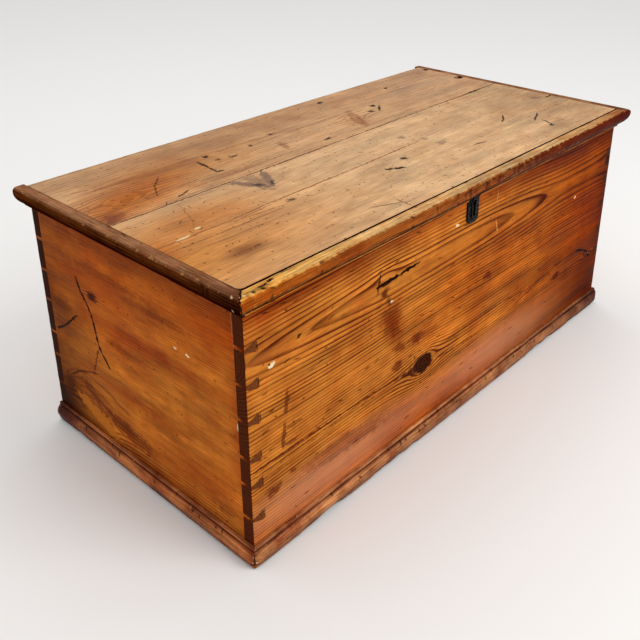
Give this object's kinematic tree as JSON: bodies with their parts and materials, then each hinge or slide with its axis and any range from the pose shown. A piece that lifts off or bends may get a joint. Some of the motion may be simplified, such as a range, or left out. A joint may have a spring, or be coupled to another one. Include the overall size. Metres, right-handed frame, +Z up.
{
  "type": "blanket chest",
  "caption": "Dovetailed pine blanket chest with a hinged, moulded lid, a moulded plinth, an iron keyhole plate and a chest lock whose bolt slides.",
  "frame": {"origin": "on the floor, under the middle of the whole chest with its lid shut", "axes": "+X along the chest to its right-hand end, -Y out of the front with the keyhole, +Z up"},
  "size_m": [1.042, 0.527, 0.44],
  "materials": {
    "front_pine": "waxed, worn",
    "end_pine": "waxed, worn",
    "bottom_pine": "unfinished",
    "plinth_pine": "waxed, worn",
    "lid_pine": "bleached, worn",
    "moulding_pine": "waxed, worn",
    "black_iron": "blackened",
    "steel": "dull, oxidised"
  },
  "bodies": {
    "carcass": {"back_board": "end_pine", "bottom_board_back": "bottom_pine", "bottom_board_front": "bottom_pine", "bottom_board_middle": "bottom_pine", "bottom_nails": "steel", "escutcheon": "black_iron", "escutcheon_pins": "black_iron", "front_board": "front_pine", "hinge_flap_left": "black_iron", "hinge_flap_right": "black_iron", "hinge_flap_screws": "steel", "hinge_pin_left": "steel", "hinge_pin_right": "steel", "left_end_board": "end_pine", "lock_case": "black_iron", "lock_plate": "black_iron", "lock_posts": "steel", "lock_screws": "steel", "lock_spring": "steel", "lock_ward": "steel", "plinth_brads": "steel", "plinth_front": "plinth_pine", "plinth_left": "plinth_pine", "plinth_right": "plinth_pine", "right_end_board": "end_pine"},
    "lid": {"hinge_strap_left": "black_iron", "hinge_strap_right": "black_iron", "hinge_strap_screws": "steel", "lid_board_back": "lid_pine", "lid_board_front": "lid_pine", "lid_brads": "steel", "lid_moulding_front": "moulding_pine", "lid_moulding_left": "moulding_pine", "lid_moulding_right": "moulding_pine", "link_plate": "black_iron", "link_screws": "steel"},
    "bolt": {"lock_bolt": "steel"}
  },
  "joints": [
    {"name": "lid_hinge", "type": "hinge", "parent": "carcass", "child": "lid", "pos_m": [0, 0.2578, 0.41825], "axis": [-1, 0, 0], "range_deg": [0, 104.5]},
    {"name": "bolt_slide", "type": "slide", "parent": "carcass", "child": "bolt", "axis": [1, 0, 0], "range_m": [0, 0.008]}
  ]
}
